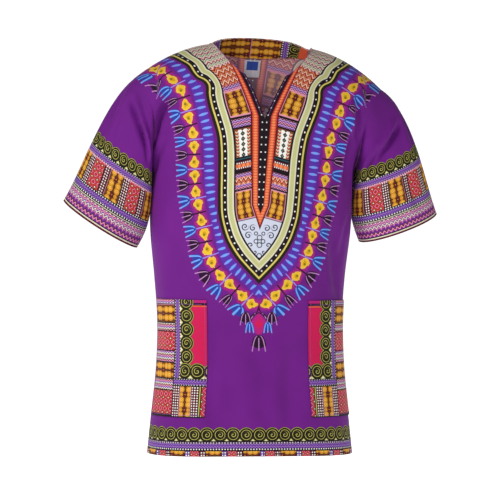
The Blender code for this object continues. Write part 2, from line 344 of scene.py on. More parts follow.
def leaning(points):
    out = points.copy()
    reach = LEAN_WHOLE_FROM - LEAN_NONE_BELOW
    share = np.clip((points[..., 2] - LEAN_NONE_BELOW) / reach, 0.0, 1.0)
    above = np.maximum(points[..., 2] - LEAN_WHOLE_FROM, 0.0)
    moved = LEAN * (above + reach * (share**3 - share**4 / 2))
    out[..., 0] += moved - LEAN * (-LEAN_WHOLE_FROM + reach / 2)
    out[..., 2] -= points[..., 0] * (HEM_DROP + (DROP - HEM_DROP) * smooth(share))
    return out


def sew(name, points, flat, materials, wall=CLOTH, zones=None, open_columns=(), guides=()):
    """A piece of cloth from a grid of outer points, whose rows and columns run so that its faces point outwards. The
    materials are those of its right side, picked by zone, and then as many for its wrong side."""
    rows, columns = points.shape[:2]
    bpy.ops.object.select_all(action="DESELECT")
    bpy.ops.mesh.primitive_grid_add(x_subdivisions=columns - 1, y_subdivisions=rows - 1, size=1)
    piece = bpy.context.object
    piece.name = piece.data.name = name
    mesh = piece.data
    places = np.empty(rows * columns * 3)
    mesh.vertices.foreach_get("co", places)
    places = places.reshape(-1, 3) + 0.5
    column = np.rint(places[:, 0] * (columns - 1)).astype(int)
    row = np.rint(places[:, 1] * (rows - 1)).astype(int)
    mesh.vertices.foreach_set("co", points[row, column].ravel())
    for guide_name, guide in guides:
        layer = mesh.attributes.new(guide_name, "FLOAT_VECTOR", "POINT")
        layer.data.foreach_set("vector", guide[row, column].ravel())
    corners = np.empty(len(mesh.loops), int)
    mesh.loops.foreach_get("vertex_index", corners)
    layer = mesh.uv_layers.active
    layer.name = "cloth"
    layer.data.foreach_set("uv", flat[row, column][corners].ravel())
    for material in materials:
        mesh.materials.append(material)
    face_rows, face_columns = (place[corners].reshape(-1, 4).min(axis=1) for place in (row, column))
    if zones is not None:
        mesh.polygons.foreach_set("material_index", zones[face_rows, face_columns])
    bpy.ops.object.mode_set(mode="EDIT")
    bpy.ops.mesh.select_mode(type="FACE")
    bpy.ops.mesh.select_all(action="DESELECT")
    bpy.ops.object.mode_set(mode="OBJECT")
    mesh.polygons.foreach_set("select", np.isin(face_columns, open_columns))
    bpy.ops.object.mode_set(mode="EDIT")
    bpy.ops.mesh.delete(type="FACE")
    bpy.ops.mesh.select_mode(type="VERT")
    bpy.ops.mesh.select_all(action="SELECT")
    bpy.ops.mesh.remove_doubles(threshold=MERGE)
    bpy.ops.object.mode_set(mode="OBJECT")
    shell = piece.modifiers.new("wall", "SOLIDIFY")
    shell.thickness = wall
    shell.offset = -1.0
    shell.material_offset = len(materials) // 2
    shell.material_offset_rim = 0
    bpy.ops.object.modifier_apply(modifier="wall")
    mesh.shade_smooth()
    mesh.set_sharp_from_angle(angle=SHARP_EDGE)
    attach(piece, "root")
    return piece


EDGE = 0.5
TURN = 2 * math.pi


def ink(red, green, blue):
    """A print colour from its screen values, 0 to 255."""
    return (*(((c / 255 + 0.055) / 1.055) ** 2.4 for c in (red, green, blue)), 1.0)


class Value:
    """A socket of a material's nodes, whose arithmetic adds the nodes that it needs."""

    def __init__(self, socket):
        self.socket = socket

    def node(self, kind, settings, sockets, output=0):
        """Another node in the same material, by its type, its settings and what its sockets are given."""
        tree = self.socket.id_data
        made = tree.nodes.new("ShaderNode" + kind)
        for name, setting in settings.items():
            setattr(made, name, setting)
        for name, given in sockets.items():
            if isinstance(given, Value):
                tree.links.new(given.socket, made.inputs[name])
            else:
                made.inputs[name].default_value = given
        return Value(made.outputs[output])

    def math(self, operation, *others, clamp=False):
        settings = {"operation": operation, "use_clamp": clamp}
        return self.node("Math", settings, dict(enumerate((self, *others))))

    def __add__(self, other):
        return self.math("ADD", other)

    def __sub__(self, other):
        return self.math("SUBTRACT", other)

    def __rsub__(self, other):
        return self.math("MULTIPLY_ADD", -1.0, other)

    def __mul__(self, other):
        return self.math("MULTIPLY", other)

    def __truediv__(self, other):
        return self.math("DIVIDE", other)

    def __abs__(self):
        return self.math("ABSOLUTE")

    __radd__, __rmul__ = __add__, __mul__

    def part(self, place):
        return self.node("SeparateXYZ", {}, {0: self}, place)

    def under(self, edge, blur=EDGE):
        return self.math("MULTIPLY_ADD", -1 / blur, edge / blur + 0.5, clamp=True)

    def beyond(self, edge, blur=EDGE):
        return self.math("MULTIPLY_ADD", 1 / blur, 0.5 - edge / blur, clamp=True)

    def within(self, low, high, blur=EDGE):
        return abs(self - (low + high) / 2).under((high - low) / 2, blur)

    def repeats(self, pitch, start=0.0):
        """How far from the middle of the nearest repeat, where one repeat's middle is at start."""
        return (self - start).math("WRAP", pitch / 2, -pitch / 2)


def guide(value, name):
    return value.node("Attribute", {"attribute_name": name}, {}, 1)


def length(x, y):
    both = x.node("CombineXYZ", {}, {0: x, 1: y})
    return both.node("VectorMath", {"operation": "LENGTH"}, {0: both}, 1)


def over(base, colour, mask):
    """The colour printed over the base where the mask is 1."""
    return mask.node("Mix", {"data_type": "RGBA"}, {0: mask, 6: base, 7: colour}, 2)


def layers(base, printed):
    """Colours printed over the base one after another, each with its mask."""
    for colour, mask in printed:
        base = over(base, colour, mask)
    return base


def stepped(base, field, steps):
    """Colours printed over the base one after another, each where the field is under its edge: rings inside one
    another, or rows from their top edges down."""
    return layers(base, ((colour, field.under(edge)) for edge, colour in steps))


GROUND, GROUND_DEEP = ink(120, 28, 143), ink(99, 20, 122)
BLACK, JET, WHITE, CREAM = ink(26, 16, 24), ink(34, 30, 15), ink(246, 244, 238), ink(232, 226, 200)
LIME, PALE_LIME, YELLOW, TEAL = ink(206, 200, 98), ink(202, 202, 138), ink(222, 204, 106), ink(40, 84, 96)
SLATE = ink(38, 50, 62)
GOLD, STRAW, BROWN, MAROON = ink(216, 146, 38), ink(238, 184, 76), ink(112, 58, 28), ink(92, 16, 36)
ORANGE, CORAL, RED, WINE = ink(224, 92, 54), ink(244, 142, 90), ink(182, 34, 50), ink(100, 12, 32)
PINK, LILAC, VIOLET, MAGENTA = ink(232, 152, 176), ink(196, 160, 216), ink(90, 50, 172), ink(186, 28, 120)
ROSE, PLUM, AZURE = ink(209, 24, 84), ink(146, 34, 140), ink(150, 140, 242)
SKY, DEEP_BLUE = ink(112, 166, 246), ink(44, 60, 158)
BLOSSOM, BLOSSOM_RIM = ink(238, 192, 44), ink(238, 188, 128)
OLIVE, STEM, MAUVE, IRIS = ink(132, 124, 20), ink(38, 8, 42), ink(206, 146, 206), ink(104, 56, 150)
BLOSSOM_DEEP, HEATHER = ink(212, 158, 30), ink(178, 134, 206)
FADED, UMBER, SAGE = ink(212, 180, 200), ink(62, 30, 20), ink(128, 142, 112)
FINISH = {"Roughness": 0.68, "Specular IOR Level": 0.16, "Sheen Weight": 0.04, "Sheen Roughness": 0.5}
PATCH_SCALE, PATCH_SHARE = 9.0, 0.22
CRUMPLE_SCALE, CRUMPLE_DEPTH = 26.0, 0.0016
WEAVE_PITCH, WEAVE_SHARE = 0.9, 0.012
# The wrong side is faded, and is also painted 1.3 times brighter: painted light for the shaded inside of the shirt.
WRONG_SIDE = {"pale": 0.36, "painted_light": 1.3}


def dye(name, painter, pale=0.0, painted_light=1.0):
    """A printed cotton. The painter colours it from its flat coordinates in mm, pale fades it, as on the wrong side,
    and the last argument makes the whole print brighter as painted light, for cloth that lies in shade."""
    material = shaded(name, FINISH)
    shader = material.node_tree.nodes["Principled BSDF"]
    start = Value(shader.outputs[0])
    place = start.node("TexCoord", {}, {}, 3)
    cloth = start.node("UVMap", {"uv_map": "cloth"}, {})
    cloth = start.node("VectorMath", {"operation": "SCALE"}, {0: cloth, "Scale": MM})
    u, v = cloth.part(0), cloth.part(1)
    colour = painter(u, v)
    if pale:
        colour = start.node("Mix", {"data_type": "RGBA"}, {0: pale, 6: colour, 7: FADED}, 2)
    patches_and_painted_light = start.node("TexNoise", {}, {"Vector": place, "Scale": PATCH_SCALE, "Detail": 3.0})
    # Random uneven dye, scaled by the painted light factor, which brightens the whole print as painted light.
    patches_and_painted_light = patches_and_painted_light * (PATCH_SHARE * painted_light) + (1 - PATCH_SHARE / 2) * painted_light
    colour = start.node("VectorMath", {"operation": "SCALE"}, {0: colour, "Scale": patches_and_painted_light})
    crumple = start.node("TexNoise", {}, {"Vector": place, "Scale": CRUMPLE_SCALE, "Detail": 2.0, "Roughness": 0.4})
    weave = (u * (TURN / WEAVE_PITCH)).math("SINE") * (v * (TURN / WEAVE_PITCH)).math("SINE")
    height = crumple + weave * WEAVE_SHARE
    bump = start.node("Bump", {}, {"Height": height, "Strength": 1.0, "Distance": CRUMPLE_DEPTH})
    material.node_tree.links.new(colour.socket, shader.inputs["Base Color"])
    material.node_tree.links.new(bump.socket, shader.inputs["Normal"])
    return material


def both_sides(name, painters, painted_light=1.0):
    """The materials of a panel: the right side of each of its prints, then the wrong side of each, faded and painted
    brighter as painted light for the shaded inside. The last argument paints light into the right side's prints.
    """
    right = [dye(f"{name}_{painter.__name__}", painter, painted_light=painted_light) for painter in painters]
    return right + [dye(f"{name}_{painter.__name__}_inside", painter, **WRONG_SIDE) for painter in painters]


GROUND_PATCHES, RAGGED_SCALE, RAGGED = 0.011, 0.16, 7.0


def uneven(u, v, scale):
    place = u.node("CombineXYZ", {}, {0: u, 1: v})
    return u.node("TexNoise", {}, {"Vector": place, "Scale": scale, "Detail": 1.0})


def ground(u, v):
    return over(GROUND, GROUND_DEEP, uneven(u, v, GROUND_PATCHES))


def zigzags(x, y, pitch, thick, colours, steep=1.0):
    """Zigzag lines under one another, in each colour in turn."""
    level = ((y + x.math("PINGPONG", pitch / 2) * steep) / thick).math("WRAP", len(colours), 0.0)
    base = colours[0]
    for place, colour in enumerate(colours[1:], 1):
        base = over(base, colour, level.beyond(place, 0.2))
    return base


def chain(x, y, apart=14.4, link=27.0):
    """Gold links in two columns, long and round in turn, with a maroon diamond between each four."""
    across = abs(x) - apart / 2
    fold = abs(y.repeats(link))
    links = length(across, fold - link * 0.16).math("MINIMUM", length(across, fold - link / 2) + 2.2)
    diamond = abs(x) + abs(fold - link / 2)
    base = stepped(BROWN, diamond, ((5.4, MAROON), (1.3, GOLD)))
    base = stepped(base, links, ((6.8, UMBER), (5.7, GOLD), (3.0, STRAW), (1.0, GOLD)))
    return layers(base, ((PINK, abs(x).beyond(apart * 1.06)), (BROWN, abs(x).beyond(apart * 1.2))))


def beads(x, y, pitch=4.6, base=MAROON, colour=WHITE):
    return over(base, colour, length(x.repeats(pitch), y.repeats(pitch, pitch / 2)).under(1.3))


def lattice(x, y, pitch=13.0, base=RED):
    """Small four-cornered flowers in rows."""
    flower = abs(x.repeats(pitch, pitch / 2)) + abs(y.repeats(pitch, pitch / 2))
    base = over(base, PINK, flower.within(pitch * 0.60, pitch * 0.70))
    return stepped(base, flower, ((pitch * 0.38, ORANGE), (pitch * 0.28, MAROON), (pitch * 0.13, CREAM)))


def scroll_band(base, x, y, pitch):
    """A black band of discs over the base, each with a ring and a spiral, and with scallops along its top. y is
    up from the band's lower edge."""
    radius = pitch * 0.39
    across, up = x.repeats(pitch), y - (radius + 3.5)
    scallop = length(across, up.math("MAXIMUM", 0.0))
    base = layers(base, (
        (JET, scallop.under(pitch * 0.60)), (LIME, scallop.within(pitch * 0.535, pitch * 0.565)),
    ))
    corner = abs(x.repeats(pitch, pitch / 2)) + y
    base = stepped(base, corner, ((pitch * 0.24, LIME), (pitch * 0.17, CREAM)))
    from_middle = length(across, up)
    turn = up.math("ARCTAN2", across) / TURN
    gap = pitch * 0.2
    spiral = abs((from_middle - turn * gap).repeats(gap)).under(0.5)
    return layers(base, (
        (LIME, spiral * from_middle.under(radius * 0.6)), (LIME, from_middle.within(radius * 0.92, radius * 1.01)),
    ))


TULIP_HEIGHT, TULIP_HALF_WIDTH = 21.0, 9.2


def tulip(base, side, up, body, line, rib=0.6):
    """A sprig that opens away from its stem, with three ribs. side is the distance from its middle line."""
    open_to = (up.math("MAXIMUM", 0.0) / TULIP_HEIGHT).math("POWER", 0.34) * TULIP_HALF_WIDTH
    gap = side - open_to
    base = over(base, body, gap.under(2.6) * (up + side * 0.35).within(-1.0, TULIP_HEIGHT * 0.86))
    ribs = abs(gap).math("MINIMUM", side + up.under(3.0) * 9.0)
    return over(base, line, (ribs - rib).under(0.0) * (up - side * 0.1).within(0.0, TULIP_HEIGHT))


RING_PITCH = 51.0
DASH_PITCH = 12.4


def ring(u, v):
    """The dashes round the yoke, the ring of blossoms and sprigs outside them, and the drop below its point."""
    yoke, ring_guide = guide(u, "yoke"), guide(u, "ring")
    up, along, off = yoke.part(2), ring_guide.part(0), ring_guide.part(1)
    base = ground(u, v)
    dashes = guide(u, "dashes")
    step, aside = dashes.part(0), dashes.part(1)
    base = layers(base, ((VIOLET, aside.within(-9.5, 9.5, 5.0)), (PLUM, off.within(-13.0, 9.0, 6.0))))
    leaf = abs(step.repeats(DASH_PITCH)) + aside * aside * 0.02
    dash = leaf.under(2.2) * aside.within(-8.4, 8.4)
    base = over(base, over(AZURE, SKY, abs(aside).under(4.0, 3.0)), dash)
    across = abs(along.repeats(RING_PITCH))
    side = across - 14.6
    tail = side.math("MINIMUM", 0.0)
    ragged = uneven(u, v, RAGGED_SCALE) * RAGGED - RAGGED / 2
    drop = length(side - tail * 0.30, (off + 2.0) * (1.0 - tail * 0.085)) + ragged
    base = over(base, MAGENTA, drop.under(12.4, 4.0))
    base = stepped(base, drop, ((10.0, WINE), (9.0, BLOSSOM_RIM), (7.8, BLOSSOM), (3.6, BLOSSOM_DEEP)))
    vein = length(side + 2.0, off + 1.0)
    base = stepped(base, vein, ((2.2, OLIVE),))
    base = layers(base, (
        (STEM, across.under(1.2) * off.within(-13.0, 13.0)),
        (AZURE, across.beyond(RING_PITCH / 2 - 0.9) * off.within(-19.0, 12.0)),
    ))
    blue = across.beyond(RING_PITCH / 4)
    body, line = over(STEM, DEEP_BLUE, blue), over(MAUVE, SKY, blue)
    base = tulip(base, abs(along.repeats(RING_PITCH / 2)), off - 12.0, body, line, blue * 0.6 + 0.6)
    middle = abs(u)
    diamond = middle * 1.3 + abs(up - 234.0)
    base = stepped(base, diamond, ((24.0, PLUM), (20.0, MAGENTA), (9.0, ROSE)))
    base = over(base, STEM, abs(middle * 0.45 + up - 254.0).under(0.9) * middle.under(22.0))
    base = tulip(base, abs(middle - 23.0), 254.0 - up, STEM, MAUVE)
    base = tulip(base, abs(middle - 16.0) * 1.35, (237.0 - up) * 1.2, DEEP_BLUE, SKY, 1.4)
    return tulip(base, middle * 0.8, (214.0 - up) * 0.8, STEM, MAUVE)


CURL_GAP = 4.8


def curl(base, x, y, places):
    """Dark scrollwork: a spiral stroke at each place, out to its own reach, or a plain ring where it turns by 0."""
    for place_x, place_y, reach, hand in places:
        dx, dy = x - place_x, y - place_y
        away = length(dx, dy)
        if hand:
            away = away - (dy.math("ARCTAN2", dx) * (hand * CURL_GAP / TURN))
            stroke = abs(away.repeats(CURL_GAP)).under(0.95) * length(dx, dy).under(reach)
        else:
            stroke = away.within(reach - 0.8, reach + 0.7)
        base = over(base, SLATE, stroke)
    return base


def bib(u, v):
    """The yoke: rows of small patterns on each side of the slit, a laddered edge along it, a scrolled point below,
    and a border of lines and dots all round."""
    yoke = guide(u, "yoke")
    along, out, up = yoke.part(0), yoke.part(1), yoke.part(2)
    side = abs(u)
    row = up + side * 0.25
    wide = (up * 0.061 - 13.8).math("MINIMUM", (up - 404.7) * 0.363)
    narrow = (up * 0.036 - 10.8).math("MINIMUM", (up - 427.0) * 0.40)
    from_ladder, from_border = side - wide - 2.4, -24.4 - out
    x = (from_ladder - from_border) / (from_ladder + from_border).math("MAXIMUM", 12.0) * 16.4
    links = chain(x, row - 441.0)
    speckle = zigzags(side, row, 10.0, 2.5, (CREAM, MAROON, PINK, CREAM, SAGE), 1.2)
    burst = zigzags(x, row, 9.6, 2.2, (ORANGE, CREAM, RED, CORAL, MAROON), 1.5)
    small = zigzags(x, row, 6.4, 2.2, (LILAC, MAROON, PINK, IRIS))
    check = abs(x) + abs(row.repeats(9.4))
    check = stepped(WHITE, check, ((4.6, BLACK), (1.7, SAGE)))
    check = over(check, zigzags(x, row, 4.6, 1.9, (ORANGE, CREAM, BROWN)), abs(x).beyond(8.4))
    check = over(check, BROWN, abs(x).beyond(14.6))
    bead = over(ORANGE, CORAL, x.repeats(9.2).within(-3.0, 3.0))
    point = curl(ink(214, 218, 236), side, up, (
        (12.0, 401.0, 6.0, 1), (26.0, 403.0, 6.6, -1), (19.5, 388.0, 6.4, 1), (15.5, 371.0, 5.6, -1),
        (8.0, 359.5, 3.6, 1), (0.0, 384.5, 4.2, 0), (0.0, 371.5, 4.2, 0), (6.2, 378.0, 3.4, 0), (0.0, 353.0, 4.0, 0),
        (0.0, 344.6, 2.0, 0), (6.5, 391.5, 2.8, 0),
    ))
    base = stepped(speckle, row, (
        (702.0, burst), (664.0, small), (654.0, PINK), (651.0, links), (608.0, PINK), (605.0, BLACK), (601.0, small),
        (586.0, BLACK), (583.0, BROWN), (581.0, check), (533.0, BLACK), (530.0, TEAL), (528.0, BLACK),
        (525.0, beads(x, row)), (520.4, bead), (514.4, beads(x, row - 0.4)), (511.0, BLACK), (504.0, small),
        (497.0, burst), (484.0, small), (476.0, BLACK), (473.5, PINK), (471.5, links), (424.0, PINK), (422.0, TEAL),
        (420.5, point),
    ))
    base = over(base, WINE, (side - wide).under(2.4))
    rung = length(side - (wide + narrow) * 0.5, up.repeats(4.8) * 1.6)
    ladder = stepped(RED, rung, ((5.0, ORANGE), (2.9, CORAL)))
    base = layers(base, ((ladder, (side - wide).under(0.0)), (WINE, (side - narrow).under(0.4))))
    inner = (side - narrow).under(-0.8)
    return layers(base, (
        (BLACK, inner), (WHITE, length(side - 3.8, up.repeats(13.0)).under(1.25) * inner), (BLACK, out.beyond(-24.4)),
        (CREAM, out.beyond(-21.4)), (PALE_LIME, out.within(-19.0, -12.0, 1.6)), (BLACK, out.beyond(-9.8)),
        (WHITE, length(out + 5.8, along.repeats(12.6)).under(1.45)), (YELLOW, out.beyond(-1.9)),
        (JET, out.beyond(1.2)), (ground(u, v), out.beyond(6.6)),
    ))


def dotted(x, y, middle, base=IRIS):
    """A strip with a row of white dots along each edge and a fine zigzag between them."""
    base = over(base, HEATHER, (y + x.math("PINGPONG", 2.6)).repeats(4.6).within(-0.55, 0.55))
    edge = abs(y - middle) - 5.6
    return layers(base, ((BLACK, edge.beyond(-1.6)), (WHITE, length(x.repeats(5.0), edge).under(1.2))))


def hem(u, v):
    """The border along the hem: scrolls over a dotted purple strip and a narrow row of panels."""
    base = scroll_band(ground(u, v), u, v - 26.0, 22.9)
    place = u.math("WRAP", 66.0, 0.0)
    blocks = stepped(chain(v - 2.0, place), place, (
        (38.0, BLACK), (36.5, beads(u, v)), (28.0, BLACK), (26.5, lattice(place, v, 8.6)), (10.5, BLACK),
        (9.0, beads(u, v, 4.6, IRIS)), (1.2, BLACK),
    ))
    return stepped(base, v, ((27.4, BLACK), (25.4, dotted(u, v, 18.4)), (11.4, BLACK), (9.6, blocks)))


YOKE_EDGE = np.array((
    (0, 313.5), (18, 332), (32.5, 348), (44, 364), (53.5, 381), (60.5, 400), (66, 421), (68.5, 450), (70, 490),
    (72, 532), (76, 561), (84, 586), (92, 609), (97, 630), (99, 650), (106, 659), (114, 665), (118, 675),
    (120, 687), (128, 702), (129, 760),
))
RING_EDGE = np.array((
    (0, 264), (16, 269), (37, 289), (61, 309), (78, 328), (89, 352), (98, 388), (107, 423), (115, 455), (120, 495),
    (123, 537), (127, 566), (137, 597), (145, 629), (157, 655), (166, 678), (170, 705), (171, 760),
))
DASHES_INSIDE = 28.0
DASH_STEP = 6.0
BIB, RING, PLAIN, HEM = range(4)
DROP_ZONE = (45.0, 180.0, 262.0)
YOKE_REACH, SPRIGS_REACH, HEM_BORDER = 8.0, 35.0, 61.0


def traced(edge, step):
    """A curve of the print from the middle line up: how far along each place is, the place, and the way on."""
    run = measured(edge)
    along = np.arange(0.0, run[-1], step)
    line = stacked(through(run, edge[:, 0], along), through(run, edge[:, 1], along))
    return along, line, np.gradient(line, axis=0)


def beside(across, up, edge):
    """How far each place is along a curve of the print and out from it, in mm. The curve meets the middle line at a
    point."""
    along, line, heading = traced(edge, 1.0)
    before = np.arange(-60.0, 0.0, 1.0)
    line = np.concatenate([line[0] + heading[0] * before[:, None], line])
    heading = unit(np.concatenate([np.tile(heading[0], (len(before), 1)), heading]))
    along = np.concatenate([before, along])
    places = stacked(across.ravel(), up.ravel())
    nearest = np.array([np.argmin(((line - place) ** 2).sum(axis=1)) for place in places])
    away = places - line[nearest]
    found = along[nearest] + (away * heading[nearest]).sum(axis=1)
    out = away[:, 0] * heading[nearest, 1] - away[:, 1] * heading[nearest, 0]
    return found.reshape(across.shape), out.reshape(across.shape)


def parallel(edge, inside):
    """The line that runs at a distance inside a curve of the print, from the middle line up."""
    _, line, heading = traced(edge, DASH_STEP)
    heading = unit(heading)
    line = line + stacked(-heading[:, 1], heading[:, 0]) * inside
    line = line[line[:, 0] > DASH_STEP / 2]
    slope = (line[1, 1] - line[0, 1]) / (line[1, 0] - line[0, 0])
    return np.concatenate([[(0.0, line[0, 1] - slope * line[0, 0])], line])


def print_guides(half_flat, raised):
    """What the yoke's print reads at each point of a half panel, with the print moved up the panel by a length."""
    across, up = half_flat[..., 0] * MM, half_flat[..., 1] * MM - raised
    edges = YOKE_EDGE, RING_EDGE, parallel(RING_EDGE, DASHES_INSIDE)
    return [stacked(*beside(across, up, edge), up) for edge in edges]


def least(grid):
    rows = np.minimum(grid[:-1], grid[1:])
    return np.minimum(rows[:, :-1], rows[:, 1:])


def print_zones(flat, yoke, ring_guide):
    side, up, height = least(np.abs(flat[..., 0])) * MM, least(yoke[..., 2]), least(flat[..., 1]) * MM
    drop = (side < DROP_ZONE[0]) & (up > DROP_ZONE[1]) & (up < DROP_ZONE[2])
    zones = np.where((least(ring_guide[..., 1]) < SPRIGS_REACH) | drop, RING, PLAIN)
    zones = np.where(least(yoke[..., 1]) < YOKE_REACH, BIB, zones)
    return np.where(height < HEM_BORDER, HEM, zones)


columns = np.linspace(0.0, COLUMNS, HALF_STEPS + 1)
heights = np.linspace(HEM_Z, UNDERARM_Z, TORSO_STEPS + 1)
shares = np.linspace(0.0, 1.0, UPPER_STEPS + 1)[1:]
STITCH = {"start": 0.6, "pitch": 3.4, "length": 2.3, "half_width": 0.32, "lift": 0.0003, "wall": 0.0003}
HEM_STITCHES_UP = 24.0
SIDES = (-1, "right"), (1, "left")
HALF = 0.5
thread = shaded("thread", {"Base Color": ink(150, 84, 172), "Roughness": 0.6})


def between(grid, rows, cols):
    """The values of a grid at fractions of its rows and columns."""
    row, col = np.floor(rows).astype(int), np.floor(cols).astype(int)
    row, col = np.minimum(row, grid.shape[0] - 2), np.minimum(col, grid.shape[1] - 2)
    up, over_by = (rows - row)[:, None], (cols - col)[:, None]
    low = grid[row, col] * (1 - over_by) + grid[row, col + 1] * over_by
    return low * (1 - up) + (grid[row + 1, col] * (1 - over_by) + grid[row + 1, col + 1] * over_by) * up


def stitch(name, points, rows, cols):
    """A row of short stitches along a path of a panel's rows and columns, just proud of the cloth."""
    rows, cols = np.broadcast_arrays(rows, cols)
    path, away = between(points, rows, cols), between(normals(points), rows, cols)
    run = measured(path) * MM
    count = int(run[-1] / STITCH["pitch"]) - 1
    first = STITCH["start"], STITCH["start"] + STITCH["length"]
    ends = (np.arange(count)[:, None] * STITCH["pitch"] + first).ravel()
    path, away = (stacked(*(np.interp(ends, run, axis) for axis in line.T)) for line in (path, away))
    away = unit(away)
    sideways = unit(np.cross(away, np.gradient(path, axis=0))) * STITCH["half_width"] / MM
    lifted = path + away * (STITCH["lift"] + STITCH["wall"] / 2)
    rows_of_two = np.stack([lifted - sideways, lifted + sideways])
    flat = np.zeros((2, len(ends), 2))
    return sew(name, rows_of_two, flat, [thread], wall=STITCH["wall"], open_columns=np.arange(1, 2 * count - 1, 2))


def cut_from(piece, flat):
    """Works out the area that a panel's flat coordinates cover, and leaves it unused."""
    one, two = flat[1:, 1:] - flat[:-1, :-1], flat[1:, :-1] - flat[:-1, 1:]
    area = np.abs(one[..., 0] * two[..., 1] - one[..., 1] * two[..., 0]).sum() / 2


FRONT_FOLDS = (
    ((-0.160, -0.090), (-0.184, -0.200), 0.020, 0.0050), ((0.162, -0.110), (0.172, -0.290), 0.018, 0.0050),
    ((0.128, -0.300), (0.150, -0.470), 0.022, 0.0045), ((-0.150, -0.280), (-0.136, -0.450), 0.022, 0.0035),
    ((-0.050, -0.470), (-0.062, -0.740), 0.026, 0.0040), ((0.060, -0.520), (0.052, -0.740), 0.026, 0.0035),
)
FRONT_CREASES = (
    ((-156, 636), (-212, 552), 6.5, 6.6), ((-176, 560), (-214, 480), 7.0, 3.0),
    ((-238, 560), (-214, 470), 8.0, 2.6), ((184, 600), (170, 470), 8.0, 4.6),
    ((172, 650), (198, 560), 7.0, 5.0), ((214, 560), (226, 440), 7.0, 2.6),
    ((150, 420), (178, 262), 13.0, 3.0), ((196, 440), (170, 330), 9.0, 1.8),
    ((-150, 330), (-128, 120), 12.0, 1.6), ((-62, 250), (-78, 20), 13.0, 2.2),
    ((70, 230), (60, 20), 13.0, 2.0), ((10, 200), (16, 30), 15.0, 1.4),
)
body_prints = both_sides("cotton", (bib, ring, ground, hem))


def body_panel(name, neck, which, facing, folds, creases=(), raised=0.0, open_columns=()):
    """A front or back panel in the yoke's print, with its half at +X, its points and its flat coordinates."""
    half, half_flat = half_panel(heights, shares, columns, neck, which, facing)
    flat = both_halves(half_flat, (-1, 1))[:, ::-facing]
    points = leaning(folded(both_halves(half, (-1, 1, 1)), folds))[:, ::-facing]
    points = creased(points, flat, creases)
    guides = [both_halves(read, 1)[:, ::-facing] for read in print_guides(half_flat, raised)]
    zones, guides = print_zones(flat, *guides[:2]), zip(("yoke", "ring", "dashes"), guides)
    piece = sew(name, points, flat, body_prints, zones=zones, open_columns=open_columns, guides=guides)
    return piece, half, points, flat


front, front_half, front_points, front_map = body_panel(
    "front_panel", NECK_FRONT, FRONT_DEPTH, -1, FRONT_FOLDS, FRONT_CREASES, open_columns=[HALF_STEPS]
)
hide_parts("front")
LAST_ROW = front_points.shape[0] - 1
HEM_ROW = HEM_STITCHES_UP / MM / (UNDERARM_Z - HEM_Z) * TORSO_STEPS
WHOLE_WIDTH = np.arange(HALF, 2 * HALF_STEPS + 0.6, HALF)
neck_steps = HALF_STEPS * NECK_COLUMNS / COLUMNS
sewn = [stitch("hem_stitches_front", front_points, HEM_ROW, WHOLE_WIDTH)]
for side, name in SIDES:
    edge = HALF_STEPS + HALF + side * HALF
    down_slit = np.arange(LAST_ROW - 1.0, LAST_ROW - SLIT_SHARE * UPPER_STEPS, -HALF)
    sewn.append(stitch(f"slit_stitches_{name}", front_points, down_slit, edge + side))
    round_neck = edge + side * np.arange(1.0, neck_steps, HALF)
    sewn.append(stitch(f"neck_stitches_{name}", front_points, LAST_ROW - 1.0, round_neck))
cut_from(front, front_map)

# Back: one panel of the same printed cotton, sewn to the front at the shoulder and side seams. It has no slit, and its
# print sits higher than the front's.
BACK_FOLDS = (
    ((-0.150, -0.110), (-0.172, -0.260), 0.020, 0.0050), ((0.150, -0.110), (0.165, -0.250), 0.020, 0.0045),
    ((-0.100, -0.330), (-0.118, -0.740), 0.026, 0.0060), ((0.020, -0.380), (0.030, -0.740), 0.028, 0.0050),
    ((0.112, -0.340), (0.128, -0.740), 0.026, 0.0055),
)
BACK_PRINT_RISE = 55.0
back, back_half, back_points, back_map = body_panel(
    "back_panel", NECK_BACK, BACK_DEPTH, 1, BACK_FOLDS, raised=BACK_PRINT_RISE
)
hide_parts("back")
sewn = [stitch("hem_stitches_back", back_points, HEM_ROW, WHOLE_WIDTH)]
cut_from(back, back_map)

# Sleeves: one tube of the same cotton each, sewn round the armhole at its upper edge. The border print runs round the
# cuff, which is hemmed with one row of stitches.
SLEEVES = (
    {"side": -1, "name": "right", "outer": (0.337, -0.287), "inner": (0.204, -0.3650), "top": (0.757, -0.654)},
    {"side": 1, "name": "left", "outer": (0.341, -0.290), "inner": (0.200, -0.3480), "top": (0.900, -0.430)},
)
SLEEVE_STEPS = 64
CUFF_HALF_DEPTH = 0.050
CUFF_TILT = math.radians(12)
SLEEVE_UNDER_HEADING = np.array((-0.015, -0.9999))
SLEEVE_INWARD = 0.10
SLEEVE_TOP_REACH = 0.070
SLEEVE_UNDER_REACH = 0.075
CUFF_REACH = 0.065
CUFF_HEM = 20.0
CUFF_BORDER = 142.0


